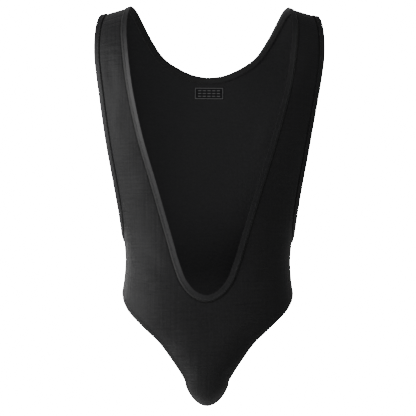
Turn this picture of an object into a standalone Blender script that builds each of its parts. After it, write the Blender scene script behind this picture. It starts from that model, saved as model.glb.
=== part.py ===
"""Fitness leotard for a man, worn form: deep front neckline, wide straps, high-cut legs, narrow back.

Units are metres. +Z is up, the front faces -Y, and the wearer's left side is at +X.
The origin is on the centre plane, at the height of the shoulders that hold the straps.
"""

import math
from collections import namedtuple

import bpy
import numpy as np
from mathutils import Vector
from mathutils.bvhtree import BVHTree

# Cloth and sewing
WALL = 0.0012
BINDING_WIDTH = 0.012
BINDING_THICK = 0.0024
BINDING_ROUND = 0.0016
SEAM_GAP = 0.0003

# Shoulders: the cloth turns over from CHEST_TOP to the shoulder seam, which slopes down from the neck
CHEST_TOP = -0.190
NECK_POINT = 0.1365
SHOULDER_TIP = -0.0165
SHOULDER_SLOPE = 0.31
SHOULDER_ROUND = 0.05
STRAP_WRAP = 1.10

# Level sections of the figure are superellipses of this power
SECTION_POWER = 2.3
SIDE = math.pi / 2

# Heights of the corners in the outline, and where levels start to follow the cloth round the crotch
ARMHOLE_BOTTOM = -0.400
HIP_POINT = -0.498
PLAIN_BOTTOM = -0.600

# Where the armhole's edge runs beside the shoulder, as half widths
ArmEdge = namedtuple("ArmEdge", "height reach")
ARM_EDGE = [
    ArmEdge(-0.0165, 0.1900),
    ArmEdge(-0.0200, 0.1925),
    ArmEdge(-0.0300, 0.1960),
    ArmEdge(-0.0450, 0.1982),
    ArmEdge(-0.0660, 0.1990),
    ArmEdge(-0.0920, 0.1980),
    ArmEdge(-0.1270, 0.1935),
    ArmEdge(-0.1620, 0.1880),
    ArmEdge(-0.1900, 0.1835),
    ArmEdge(-0.2320, 0.1765),
]

# Sections down the garment. Width and depth are a section's half sizes, middle is how far its centre lies
# behind the origin, rise is how far its sides lie above its centre, and reach is where the cloth ends.
Section = namedtuple("Section", "height width depth middle rise reach")
FRONT_SECTIONS = [
    Section(-0.1900, 0.2018, 0.1130, 0.000, 0.000, 0.1835),
    Section(-0.2500, 0.1909, 0.1120, 0.000, 0.000, 0.1735),
    Section(-0.3100, 0.1760, 0.1040, 0.000, 0.000, 0.1625),
    Section(-0.3600, 0.1608, 0.0965, 0.000, 0.000, 0.1540),
    Section(-0.4000, 0.1488, 0.0920, 0.000, 0.000, 0.1488),
    Section(-0.4420, 0.1444, 0.0905, 0.000, 0.000, 0.1444),
    Section(-0.4700, 0.1458, 0.0920, 0.000, 0.000, 0.1458),
    Section(-0.4980, 0.1494, 0.0940, 0.000, 0.000, 0.1494),
    Section(-0.5120, 0.1511, 0.0950, 0.000, 0.000, 0.1465),
    Section(-0.5260, 0.1530, 0.0960, 0.000, 0.000, 0.1390),
    Section(-0.5540, 0.1500, 0.0975, -0.001, 0.000, 0.1119),
    Section(-0.5820, 0.1080, 0.0800, -0.022, 0.000, 0.0824),
    Section(-0.6100, 0.0742, 0.0600, -0.044, 0.000, 0.0614),
    Section(-0.6380, 0.0490, 0.0520, -0.052, 0.000, 0.0432),
    Section(-0.6510, 0.0430, 0.0485, -0.052, 0.003, 0.0377),
    Section(-0.6600, 0.0412, 0.0455, -0.052, 0.007, 0.0370),
    Section(-0.6770, 0.0350, 0.0360, -0.050, 0.012, 0.0320),
    Section(-0.6890, 0.0268, 0.0220, -0.042, 0.011, 0.0238),
    Section(-0.6950, 0.0210, 0.0100, -0.026, 0.011, 0.0175),
    Section(-0.6915, 0.0160, 0.0000, 0.000, 0.004, 0.0125),
]
BACK_SECTIONS = [
    Section(-0.1900, 0.2018, 0.1030, 0.000, 0.000, 0.1835),
    Section(-0.2500, 0.1909, 0.1000, 0.000, 0.000, 0.1725),
    Section(-0.3100, 0.1760, 0.0920, 0.000, 0.000, 0.1615),
    Section(-0.3600, 0.1608, 0.0830, 0.000, 0.000, 0.1532),
    Section(-0.4000, 0.1488, 0.0760, 0.000, 0.000, 0.1488),
    Section(-0.4420, 0.1444, 0.0730, 0.000, 0.000, 0.1444),
    Section(-0.4700, 0.1458, 0.0770, 0.000, 0.000, 0.1458),
    Section(-0.4980, 0.1494, 0.0850, 0.000, 0.000, 0.1494),
    Section(-0.5120, 0.1511, 0.0900, 0.000, 0.000, 0.1420),
    Section(-0.5300, 0.1540, 0.0970, 0.000, 0.000, 0.1240),
    Section(-0.5550, 0.1570, 0.1030, 0.000, 0.000, 0.0900),
    Section(-0.5850, 0.1500, 0.1040, 0.000, 0.000, 0.0580),
    Section(-0.6150, 0.1100, 0.0700, 0.028, 0.000, 0.0400),
    Section(-0.6450, 0.0700, 0.0400, 0.040, 0.000, 0.0290),
    Section(-0.6700, 0.0450, 0.0200, 0.034, 0.002, 0.0210),
    Section(-0.6860, 0.0280, 0.0060, 0.018, 0.004, 0.0155),
    Section(-0.6915, 0.0160, 0.0000, 0.000, 0.004, 0.0125),
]

# The neckline, from the shoulder to the centre, as half widths
NeckPoint = namedtuple("NeckPoint", "half height")
FRONT_NECK = [
    NeckPoint(0.1365, 0.000),
    NeckPoint(0.1420, -0.022),
    NeckPoint(0.1435, -0.042),
    NeckPoint(0.1420, -0.070),
    NeckPoint(0.1356, -0.127),
    NeckPoint(0.1180, -0.214),
    NeckPoint(0.0880, -0.319),
    NeckPoint(0.0610, -0.407),
    NeckPoint(0.0485, -0.445),
    NeckPoint(0.0345, -0.476),
    NeckPoint(0.0185, -0.494),
    NeckPoint(0.0000, -0.500),
]
BACK_NECK = [
    NeckPoint(0.1365, 0.000),
    NeckPoint(0.1325, -0.0015),
    NeckPoint(0.1269, -0.0072),
    NeckPoint(0.1208, -0.018),
    NeckPoint(0.1038, -0.050),
    NeckPoint(0.0780, -0.086),
    NeckPoint(0.0535, -0.102),
    NeckPoint(0.0280, -0.113),
    NeckPoint(0.0000, -0.117),
]

# Rows of cloth down the armhole, the side seam and the leg and beside the necklines, and columns in half
# a panel
ARMHOLE_ROWS = 26
SIDE_ROWS = 5
LEG_ROWS = 22
FRONT_NECK_ROWS = 36
BACK_NECK_ROWS = 14
COLUMNS = 8
# Rows crowd where an edge bends, as if each radian of bend made the edge this much longer
BEND_LENGTH = 0.05
# Places that an edge is traced through before its rows are picked, and tries at a distance across the cloth
TRACE = 400
CORRECTIONS = 4

# The neck label, inside the back
LABEL_WIDTH = 0.052
LABEL_HEIGHT = 0.0215
LABEL_THICK = 0.0005
LABEL_MIDDLE = -0.1455
LABEL_GAP = 0.0007
LABEL_COLUMNS = 3
LABEL_ROWS = 2

# Near black knit, as a colour and a roughness
Finish = namedtuple("Finish", "colour roughness")
CLOTH_FINISH = Finish((0.016, 0.016, 0.018, 1.0), 0.55)
BINDING_FINISH = Finish((0.020, 0.020, 0.022, 1.0), 0.50)
LABEL_FINISH = Finish((0.012, 0.012, 0.013, 1.0), 0.45)


def through(knots, values, at):
    """Reads a smooth curve through the values, whose slope at each knot comes from its neighbours."""
    knots = np.asarray(knots, float)
    values = np.asarray(values, float)
    gaps = np.diff(knots)
    rates = np.diff(values) / gaps
    slopes = np.empty_like(values)
    slopes[1:-1] = (rates[:-1] * gaps[1:] + rates[1:] * gaps[:-1]) / (gaps[1:] + gaps[:-1])
    slopes[0] = rates[0]
    slopes[-1] = rates[-1]
    at = np.clip(at, knots[0], knots[-1])
    i = np.clip(np.searchsorted(knots, at, side="right") - 1, 0, len(gaps) - 1)
    u = (at - knots[i]) / gaps[i]
    start = values[i] * (1 + 2 * u) * (1 - u) ** 2 + slopes[i] * gaps[i] * u * (1 - u) ** 2
    end = values[i + 1] * u * u * (3 - 2 * u) + slopes[i + 1] * gaps[i] * u * u * (u - 1)
    return start + end


class Shape:
    """The form of the front or the back as sections, each at its level down the cloth."""

    def __init__(self, sections, sign):
        self.sign = sign
        self.levels = self.section_levels(sections)
        self.bottom = self.levels[-1]
        self.knots = [-level for level in self.levels]
        self.columns = {name: [getattr(s, name) for s in sections] for name in Section._fields}

    def section_levels(self, sections):
        """A section's level is its height, and under PLAIN_BOTTOM the way down the cloth's centre line."""
        levels = [sections[0].height]
        for above, below in zip(sections, sections[1:]):
            drop = above.height - below.height
            if below.height < PLAIN_BOTTOM:
                forth = below.middle - above.middle + self.sign * (below.depth - above.depth)
                drop = math.hypot(drop, forth)
            levels.append(levels[-1] - drop)
        return levels

    def read(self, name, level):
        return through(self.knots, self.columns[name], -level)

    def edge_angle(self, reach, level):
        """The angle at which the cloth of a section is this far from the centre plane."""
        share = min(abs(reach) / self.read("width", level), 1.0)
        return self.own_angle(math.asin(share ** (SECTION_POWER / 2)))

    def own_angle(self, angle):
        """The angle as far from the side, but on this shape's side of it."""
        return min(angle, math.pi - angle) if self.sign < 0 else max(angle, math.pi - angle)


FRONT = Shape(FRONT_SECTIONS, -1)
BACK = Shape(BACK_SECTIONS, 1)


def signed_power(value, power):
    return math.copysign(abs(value) ** power, value)


def ridge(x):
    """The height of the shoulder seam at x, rounded where it would meet the other shoulder's."""
    return SHOULDER_SLOPE * (math.hypot(NECK_POINT, SHOULDER_ROUND) - math.hypot(x, SHOULDER_ROUND))


def shoulder_width(turn):
    """The half width of a section over the shoulder, whose strap reaches as far as ARM_EDGE says."""
    height = CHEST_TOP + (SHOULDER_TIP - CHEST_TOP) * math.sin(turn)
    reach = through([-p.height for p in ARM_EDGE], [p.reach for p in ARM_EDGE], -height)
    return STRAP_WRAP * reach


def cloth(angle, level):
    """A point on the outer face. The angle runs from 0 at the centre front round to pi at the centre back."""
    shape = FRONT if math.cos(angle) >= 0 else BACK
    across = signed_power(math.sin(angle), 2 / SECTION_POWER)
    forth = shape.sign * abs(math.cos(angle)) ** (2 / SECTION_POWER)
    if level > CHEST_TOP:
        turn = min(1 - level / CHEST_TOP, 1.0) * SIDE
        x = shoulder_width(turn) * across
        y = shape.read("depth", CHEST_TOP) * forth * math.cos(turn)
        z = CHEST_TOP + (ridge(x) - CHEST_TOP) * math.sin(turn)
        return np.array([x, y, z])
    x = shape.read("width", level) * across
    y = shape.read("middle", level) + shape.read("depth", level) * forth
    z = shape.read("height", level) + shape.read("rise", level) * across**2
    return np.array([x, y, z])


def seen(shape, x, z):
    """The place, as an angle and a level, of the cloth that is seen at x and z from straight ahead."""
    if z <= CHEST_TOP:
        return shape.edge_angle(x, z), z
    share = min((z - CHEST_TOP) / (ridge(x) - CHEST_TOP), 1.0)
    turn = math.asin(share)
    share = min(abs(x) / shoulder_width(turn), 1.0)
    angle = math.asin(share ** (SECTION_POWER / 2))
    return shape.own_angle(angle), CHEST_TOP * (1 - turn / SIDE)


def locate(point):
    """The place on the cloth of a point that is on it or just beside it."""
    x, y, z = point
    shape = FRONT if y <= 0 else BACK
    if z > CHEST_TOP:
        return seen(shape, x, z)
    across = abs(x / shape.read("width", z)) ** (SECTION_POWER / 2)
    forth = abs((y - shape.read("middle", z)) / shape.read("depth", z)) ** (SECTION_POWER / 2)
    return shape.own_angle(math.atan2(across, forth)), z


def outward(angle, level):
    """The cloth's outward normal, from its slopes both ways."""
    step = 1e-4
    upper = min(level + step, -1e-6)
    by_angle = cloth(angle + step, level) - cloth(angle - step, level)
    by_level = cloth(angle, upper) - cloth(angle, level - step)
    normal = np.cross(by_angle, by_level)
    return normal / np.linalg.norm(normal)


def pick_rows(trace, count):
    """Picks count + 1 places along a traced edge, closer together where it bends."""
    steps = np.diff([cloth(*place) for place in trace], axis=0)
    lengths = np.linalg.norm(steps, axis=1)
    ways = steps / lengths[:, None]
    bends = np.arccos(np.clip((ways[1:] * ways[:-1]).sum(axis=1), -1, 1))
    cost = lengths + BEND_LENGTH * np.concatenate([[0], bends])
    run = np.concatenate([[0], np.cumsum(cost)])
    at = np.linspace(0, run[-1], count + 1)
    angles = np.interp(at, run, [angle for angle, level in trace])
    levels = np.interp(at, run, [level for angle, level in trace])
    return list(zip(angles, levels))


def neck_rows(shape, points, count):
    """Half a neckline, from the shoulder seam to the centre."""
    mirrored = points + [NeckPoint(-points[-2].half, points[-2].height)]
    halves = [p.half for p in mirrored]
    heights = [p.height for p in mirrored]
    run = np.concatenate([[0], np.cumsum(np.hypot(np.diff(halves), np.diff(heights)))])
    # Squared, because near the seam the cloth runs almost straight back
    at = run[-2] * np.linspace(0, 1, TRACE) ** 2
    trace = [seen(shape, abs(through(run, halves, u)), through(run, heights, u)) for u in at]
    trace[-1] = (0.0 if shape is FRONT else math.pi, trace[-1][1])
    return pick_rows(trace, count)


def armhole_rows(shape, count):
    """The armhole's edge on one side of it, from the shoulder seam to the side seam."""
    strap_angle = shape.edge_angle(shape.read("width", CHEST_TOP) / STRAP_WRAP, CHEST_TOP)
    trace = [(strap_angle, CHEST_TOP * u) for u in np.linspace(0, 1, TRACE)]
    for u in np.linspace(0, 1, TRACE)[1:-1]:
        # Squared, because at its bottom the edge runs almost level
        level = ARMHOLE_BOTTOM + (CHEST_TOP - ARMHOLE_BOTTOM) * (1 - u) ** 2
        trace.append((shape.edge_angle(shape.read("reach", level), level), level))
    trace.append((SIDE, ARMHOLE_BOTTOM))
    return pick_rows(trace, count)


def leg_rows(shape, count):
    """The leg's edge, from the hip point to the crotch seam."""
    trace = [(SIDE, HIP_POINT)]
    for u in np.linspace(0, 1, TRACE)[1:]:
        level = HIP_POINT + (shape.bottom - HIP_POINT) * u**2
        trace.append((shape.edge_angle(shape.read("reach", level), level), level))
    return pick_rows(trace, count)


class Edge:
    """A bound edge: its rows, and at each the way across the cloth, away from the opening."""

    def __init__(self, places, closed):
        self.places = places
        self.points = [cloth(*place) for place in places]
        self.ways = []
        last = len(places) - 1
        for i, place in enumerate(places):
            before = self.points[i - 1]
            after = self.points[0 if i == last else i + 1]
            if not closed and i == 0:
                before = after * (-1, 1, 1)
            if not closed and i == last:
                after = before * (-1, 1, 1)
            way = np.cross(after - before, outward(*place))
            self.ways.append(way / np.linalg.norm(way))

    def across(self, i, distance):
        """The place on the cloth this far from the edge, at row i."""
        place = self.places[i]
        step = distance
        for _ in range(CORRECTIONS if distance else 0):
            place = locate(self.points[i] + self.ways[i] * step)
            step *= distance / np.linalg.norm(cloth(*place) - self.points[i])
        return place

    def line(self, shape, rows, distance):
        """Places on the shape this far from the edge, at these rows."""
        places = [self.across(i, distance) for i in rows]
        return [(shape.own_angle(angle), level) for angle, level in places]


def make_mesh(name, points, faces):
    mesh = bpy.data.meshes.new(name)
    mesh.from_pydata([tuple(float(c) for c in p) for p in points], [], faces)
    mesh.shade_smooth()
    mesh.set_sharp_from_angle(angle=math.radians(50))
    return mesh


def place_object(name, mesh, material, collection):
    obj = bpy.data.objects.new(name, mesh)
    obj.data.materials.append(material)
    collection.objects.link(obj)
    return obj


def make_material(name, finish):
    material = bpy.data.materials.new(name)
    material.use_nodes = True
    shader = material.node_tree.nodes["Principled BSDF"]
    shader.inputs["Base Color"].default_value = finish.colour
    shader.inputs["Roughness"].default_value = finish.roughness
    shader.inputs["Metallic"].default_value = 0.0
    return material


def add_mirror(obj):
    mirror = obj.modifiers.new("Other half", "MIRROR")
    mirror.use_axis = (True, False, False)
    mirror.merge_threshold = 0.0001


def add_wall(obj, thickness, offset):
    wall = obj.modifiers.new("Cloth wall", "SOLIDIFY")
    wall.thickness = thickness
    wall.offset = offset


def trim_at_seams(panel, sign):
    """Applies the modifiers and trims the wall just short of the plane y = 0, through all the seams."""
    view = panel.evaluated_get(bpy.context.evaluated_depsgraph_get())
    mesh = bpy.data.meshes.new_from_object(view)
    for vertex in mesh.vertices:
        vertex.co.y = sign * max(sign * vertex.co.y, SEAM_GAP / 2)
    panel.modifiers.clear()
    panel.data = mesh


def grid_faces(rows, columns, reverse):
    """Quads of a grid whose points are listed row by row."""
    faces = []
    for r in range(rows):
        for c in range(columns):
            corner = r * (columns + 1) + c
            face = (corner, corner + columns + 1, corner + columns + 2, corner + 1)
            faces.append(face[::-1] if reverse else face)
    return faces


def make_panel(name, shape, inner, outer, material, collection):
    """A panel, half of it made between its inner and outer edges, row by row, and mirrored."""
    points = []
    for (angle_in, level_in), (angle_out, level_out) in zip(inner, outer):
        for u in np.linspace(0, 1, COLUMNS + 1):
            place = angle_in + (angle_out - angle_in) * u, level_in + (level_out - level_in) * u
            points.append(cloth(*place))
    faces = grid_faces(len(inner) - 1, COLUMNS, reverse=shape is BACK)
    panel = place_object(name, make_mesh(name, points, faces), material, collection)
    add_mirror(panel)
    add_wall(panel, WALL, -1)
    trim_at_seams(panel, shape.sign)
    return panel


def binding_points(edge):
    """Rings of the binding's section, one at each row of its edge."""
    middle = -WALL / 2
    half = BINDING_THICK / 2
    profile = [
        (0.0, middle),
        (BINDING_ROUND, middle + half),
        (BINDING_WIDTH - BINDING_ROUND, middle + half),
        (BINDING_WIDTH, middle),
        (BINDING_WIDTH - BINDING_ROUND, middle - half),
        (BINDING_ROUND, middle - half),
    ]
    rings = []
    for i in range(len(edge.points)):
        for across, lift in profile:
            place = edge.across(i, across)
            rings.append(cloth(*place) + outward(*place) * lift)
    return rings, len(profile)


def ring_faces(rings, sides, closed):
    faces = []
    for r in range(rings if closed else rings - 1):
        for s in range(sides):
            here = r * sides
            following = (r + 1) % rings * sides
            turned = (s + 1) % sides
            faces.append((here + s, here + turned, following + turned, following + s))
    return faces


def make_neck_binding(edge, material, collection):
    points, sides = binding_points(edge)
    # The ends lie in the centre plane
    points = [p * (0, 1, 1) if abs(p[0]) < 1e-6 else p for p in points]
    faces = ring_faces(len(edge.points), sides, closed=False)
    binding = place_object("neck_binding", make_mesh("neck_binding", points, faces), material, collection)
    add_mirror(binding)
    return binding


def make_armhole_binding(name, side, edge, material, collection):
    """An armhole's binding, a closed loop: side is 1 for the wearer's left and -1 for the right."""
    points, sides = binding_points(edge)
    faces = ring_faces(len(edge.points), sides, closed=True)
    if side < 0:
        points = [p * (-1, 1, 1) for p in points]
        faces = [face[::-1] for face in faces]
    return place_object(name, make_mesh(name, points, faces), material, collection)


def make_label(panel, material, collection):
    """The neck label, laid on the back panel's inner face."""
    inside = BVHTree.FromObject(panel, bpy.context.evaluated_depsgraph_get())
    points = []
    for z in np.linspace(LABEL_MIDDLE + LABEL_HEIGHT / 2, LABEL_MIDDLE - LABEL_HEIGHT / 2, LABEL_ROWS + 1):
        for x in np.linspace(0, LABEL_WIDTH / 2, LABEL_COLUMNS + 1):
            place = inside.ray_cast(Vector((x, 0, z)), Vector((0, 1, 0)))[0]
            points.append(place - Vector((0, LABEL_GAP, 0)))
    faces = grid_faces(LABEL_ROWS, LABEL_COLUMNS, reverse=False)
    label = place_object("neck_label", make_mesh("neck_label", points, faces), material, collection)
    add_mirror(label)
    add_wall(label, LABEL_THICK, 1)
    return label


def centre_line(shape, neck_end, first, last):
    """Places down a panel's centre line, from the row below the neckline to the crotch seam."""
    angle, level = neck_end
    knots = [(first, level), (last, shape.bottom)]
    if first < ARMHOLE_ROWS:
        # Beside the armhole's bottom a row has to stay under it
        knots.insert(1, (ARMHOLE_ROWS, ARMHOLE_BOTTOM - 2 * BINDING_WIDTH))
    rows = range(first + 1, last + 1)
    levels = np.interp(rows, [row for row, _ in knots], [level for _, level in knots])
    return [(angle, level) for level in levels]


def side_seam(start, count):
    """Places down the side seam to the hip point, without the first and the last."""
    return [(SIDE, level) for level in np.linspace(start, HIP_POINT, count + 1)[1:-1]]


def panel_edges(shape, neck_line, arm_line):
    """A panel's inner edge, down the neckline and the centre, and its outer edge, down to the crotch."""
    outer = arm_line + side_seam(arm_line[-1][1], SIDE_ROWS) + leg_rows(shape, LEG_ROWS)
    inner = neck_line + centre_line(shape, neck_line[-1], len(neck_line) - 1, len(outer) - 1)
    return inner, outer


def build():
    for obj in list(bpy.data.objects):
        bpy.data.objects.remove(obj, do_unlink=True)
    collection = bpy.data.collections.new("fitness_leotard")
    bpy.context.scene.collection.children.link(collection)
    cloth_material = make_material("black knit", CLOTH_FINISH)
    binding_material = make_material("black binding", BINDING_FINISH)
    label_material = make_material("black label", LABEL_FINISH)

    front_neck = neck_rows(FRONT, FRONT_NECK, FRONT_NECK_ROWS)
    back_neck = neck_rows(BACK, BACK_NECK, BACK_NECK_ROWS)
    neck = Edge(front_neck[::-1] + back_neck[1:], closed=False)
    front_arm = armhole_rows(FRONT, ARMHOLE_ROWS)
    back_arm = armhole_rows(BACK, ARMHOLE_ROWS)
    armhole = Edge(front_arm + back_arm[-2:0:-1], closed=True)

    beside = BINDING_WIDTH + SEAM_GAP
    neck_seam, neck_end = FRONT_NECK_ROWS, FRONT_NECK_ROWS + BACK_NECK_ROWS
    front_neck_line = neck.line(FRONT, range(neck_seam, -1, -1), beside)
    back_neck_line = neck.line(BACK, range(neck_seam, neck_end + 1), beside)
    back_rows = [0] + list(range(2 * ARMHOLE_ROWS - 1, ARMHOLE_ROWS - 1, -1))
    front_arm_line = armhole.line(FRONT, range(ARMHOLE_ROWS + 1), beside)
    back_arm_line = armhole.line(BACK, back_rows, beside)

    inner, outer = panel_edges(FRONT, front_neck_line, front_arm_line)
    make_panel("front_panel", FRONT, inner, outer, cloth_material, collection)
    inner, outer = panel_edges(BACK, back_neck_line, back_arm_line)
    back_panel = make_panel("back_panel", BACK, inner, outer, cloth_material, collection)
    make_neck_binding(neck, binding_material, collection)
    make_armhole_binding("armhole_binding_left", 1, armhole, binding_material, collection)
    make_armhole_binding("armhole_binding_right", -1, armhole, binding_material, collection)
    make_label(back_panel, label_material, collection)


build()
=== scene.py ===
import math
from collections import namedtuple

import bmesh
import bpy
import numpy as np
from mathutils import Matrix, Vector


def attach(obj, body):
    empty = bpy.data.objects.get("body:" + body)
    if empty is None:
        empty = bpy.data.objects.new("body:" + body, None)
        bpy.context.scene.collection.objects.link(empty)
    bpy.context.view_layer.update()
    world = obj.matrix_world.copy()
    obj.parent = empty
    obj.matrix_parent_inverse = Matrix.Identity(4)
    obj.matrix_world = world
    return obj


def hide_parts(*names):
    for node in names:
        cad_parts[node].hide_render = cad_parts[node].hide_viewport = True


# A man's fitness leotard in black stretch knit, worn form. Metres, +Z up, the front faces -Y, and the
# wearer's left side is at +X. The origin is on the centre plane at the height of the shoulders.

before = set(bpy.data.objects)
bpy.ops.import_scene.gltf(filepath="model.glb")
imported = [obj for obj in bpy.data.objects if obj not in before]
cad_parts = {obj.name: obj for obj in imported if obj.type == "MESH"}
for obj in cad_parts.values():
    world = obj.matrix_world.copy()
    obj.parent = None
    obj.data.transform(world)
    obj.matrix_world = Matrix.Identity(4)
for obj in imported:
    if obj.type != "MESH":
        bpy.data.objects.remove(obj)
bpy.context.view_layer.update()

# Cloth and sewing
WALL = 0.0012
BINDING_WIDTH = 0.012
# The bindings fold over the panels' edges by this much
BINDING_LAP = 0.0010

# The figure's form, as the solids have it
CHEST_TOP = -0.190
NECK_POINT = 0.1365
SHOULDER_TIP = -0.0165
SHOULDER_SLOPE = 0.31
SHOULDER_ROUND = 0.05
STRAP_WRAP = 1.10
POWER = 2.3
SIDE = math.pi / 2
ARMHOLE_BOTTOM = -0.400
HIP_POINT = -0.498
PLAIN_BOTTOM = -0.600

ArmEdge = namedtuple("ArmEdge", "height reach")
ARM_EDGE = [ArmEdge(*e) for e in (
    (-0.0165, 0.19), (-0.02, 0.1925), (-0.03, 0.196), (-0.045, 0.1982), (-0.066, 0.199),
    (-0.092, 0.198), (-0.127, 0.1935), (-0.162, 0.188), (-0.19, 0.1835), (-0.232, 0.1765),
)]

Section = namedtuple("Section", "height width depth middle rise reach")
FRONT_SECTIONS = [Section(*s) for s in (
    (-0.19, 0.2018, 0.113, 0, 0, 0.1835),
    (-0.25, 0.1909, 0.112, 0, 0, 0.1735),
    (-0.31, 0.176, 0.104, 0, 0, 0.1625),
    (-0.36, 0.1608, 0.0965, 0, 0, 0.154),
    (-0.4, 0.1488, 0.092, 0, 0, 0.1488),
    (-0.442, 0.1444, 0.0905, 0, 0, 0.1444),
    (-0.47, 0.1458, 0.092, 0, 0, 0.1458),
    (-0.498, 0.1494, 0.094, 0, 0, 0.1494),
    (-0.512, 0.1511, 0.095, 0, 0, 0.1465),
    (-0.526, 0.153, 0.096, 0, 0, 0.139),
    (-0.554, 0.15, 0.0975, -0.001, 0, 0.1119),
    (-0.582, 0.108, 0.08, -0.022, 0, 0.0824),
    (-0.61, 0.0742, 0.06, -0.044, 0, 0.0614),
    (-0.638, 0.049, 0.052, -0.052, 0, 0.0432),
    (-0.651, 0.043, 0.0485, -0.052, 0.003, 0.0377),
    (-0.66, 0.0412, 0.0455, -0.052, 0.007, 0.037),
    (-0.677, 0.035, 0.036, -0.05, 0.012, 0.032),
    (-0.689, 0.0268, 0.022, -0.042, 0.011, 0.0238),
    (-0.695, 0.021, 0.01, -0.026, 0.011, 0.0175),
    (-0.6915, 0.016, 0, 0, 0.004, 0.0125),
)]
BACK_SECTIONS = [Section(*s) for s in (
    (-0.19, 0.2018, 0.103, 0, 0, 0.1835),
    (-0.25, 0.1909, 0.1, 0, 0, 0.1725),
    (-0.31, 0.176, 0.092, 0, 0, 0.1615),
    (-0.36, 0.1608, 0.083, 0, 0, 0.1532),
    (-0.4, 0.1488, 0.076, 0, 0, 0.1488),
    (-0.442, 0.1444, 0.073, 0, 0, 0.1444),
    (-0.47, 0.1458, 0.077, 0, 0, 0.1458),
    (-0.498, 0.1494, 0.085, 0, 0, 0.1494),
    (-0.512, 0.1511, 0.09, 0, 0, 0.142),
    (-0.53, 0.154, 0.097, 0, 0, 0.124),
    (-0.555, 0.157, 0.103, 0, 0, 0.09),
    (-0.585, 0.15, 0.104, 0, 0, 0.058),
    (-0.615, 0.11, 0.07, 0.028, 0, 0.04),
    (-0.645, 0.07, 0.04, 0.04, 0, 0.029),
    (-0.67, 0.045, 0.02, 0.034, 0.002, 0.021),
    (-0.686, 0.028, 0.006, 0.018, 0.004, 0.0155),
    (-0.6915, 0.016, 0, 0, 0.004, 0.0125),
)]

# Half of each neckline, from the shoulder seam to the centre. The front's runs up to 5 mm inside the solid's
NeckPoint = namedtuple("NeckPoint", "half height")
FRONT_NECK = [NeckPoint(*p) for p in (
    (0.1365, 0), (0.1413, -0.022), (0.1421, -0.042), (0.1402, -0.07), (0.133, -0.127),
    (0.1136, -0.214), (0.0828, -0.319), (0.057, -0.407), (0.0458, -0.445), (0.033, -0.476),
    (0.0165, -0.494), (0, -0.5),
)]
BACK_NECK = [NeckPoint(*p) for p in (
    (0.1365, 0), (0.1325, -0.0015), (0.1269, -0.0072), (0.1208, -0.018), (0.1038, -0.05),
    (0.078, -0.086), (0.0535, -0.102), (0.028, -0.113), (0, -0.117),
)]

# Rows and columns of the cloth. The rows are the solids' rows, each parted in FINER
FINER = 4
ARMHOLE_ROWS = 26 * FINER
SIDE_ROWS = 5 * FINER
LEG_ROWS = 22 * FINER
FRONT_NECK_ROWS = 36 * FINER
BACK_NECK_ROWS = 14 * FINER
COLUMNS = 60
EDGE_CROWDING = 0.6
BEND_LENGTH = 0.05
# Steps for tracing an edge, for placing points beside it, and for laying a row of the cloth flat
TRACE = 1200
CORRECTIONS = 4
UV_STEPS = 24

# The turned hem at the legs: its width, how far it stands out and in, and how far its edge bulges
HEM_WIDTH = 0.009
HEM_LIFT = 0.00035
HEM_FOLD = 0.0009
HEM_BEAD = 0.0006
# It rises over this stretch, measured from its width
HEM_RISE = (-0.0008, 0.0012)
# The two needle lines that hold it, from the leg's edge, and how the first one draws the cloth in
HEM_STITCHES = (0.0078, 0.0056)
NEEDLE_DIP = 0.00025
NEEDLE_REACH = 0.0011
HEM_STITCH_LIFT = 0.0002

# The side and shoulder seams, the neck's and the armholes' draw the cloth in by this much, over this far
SEAM_DIP = 0.0006
NECK_DIP = 0.0002
ARMHOLE_DIP = 0.0006
SEAM_REACH = 0.0013

# The front is turned this far to the wearer's right. The turn comes in and goes out again over these
# depths under the shoulders, and comes in from the sides over the third
FRONT_TURN = 0.0022
TURN_START = (0.10, 0.24)
TURN_END = (0.50, 0.66)
TURN_FORWARD = (0.02, 0.09)

# The neck label
LABEL_WIDTH = 0.052
LABEL_HEIGHT = 0.0215
LABEL_THICK = 0.0004
LABEL_MIDDLE = -0.1455
LABEL_GAP = 0.0001
# Its print: the frame's margin and line, and the half sizes of the bars' field, a bar and its room, each
# across and up
FRAME_MARGIN = 0.0009
FRAME_LINE = 0.0010
FIELD = (0.0205, 0.0062)
BAR = (0.0030, 0.0007)
BAR_ROOM = (0.0042, 0.0025)


def through(knots, values, at):
    """Reads a smooth curve through the values, whose slope at each knot comes from its neighbours."""
    knots = np.asarray(knots, float)
    values = np.asarray(values, float)
    gaps = np.diff(knots)
    rates = np.diff(values) / gaps
    slopes = np.empty_like(values)
    slopes[1:-1] = (rates[:-1] * gaps[1:] + rates[1:] * gaps[:-1]) / (gaps[1:] + gaps[:-1])
    slopes[0] = rates[0]
    slopes[-1] = rates[-1]
    at = np.clip(at, knots[0], knots[-1])
    i = np.clip(np.searchsorted(knots, at, side="right") - 1, 0, len(gaps) - 1)
    u = (at - knots[i]) / gaps[i]
    start = values[i] * (1 + 2 * u) * (1 - u) ** 2 + slopes[i] * gaps[i] * u * (1 - u) ** 2
    end = values[i + 1] * u * u * (3 - 2 * u) + slopes[i + 1] * gaps[i] * u * u * (u - 1)
    return start + end


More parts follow.
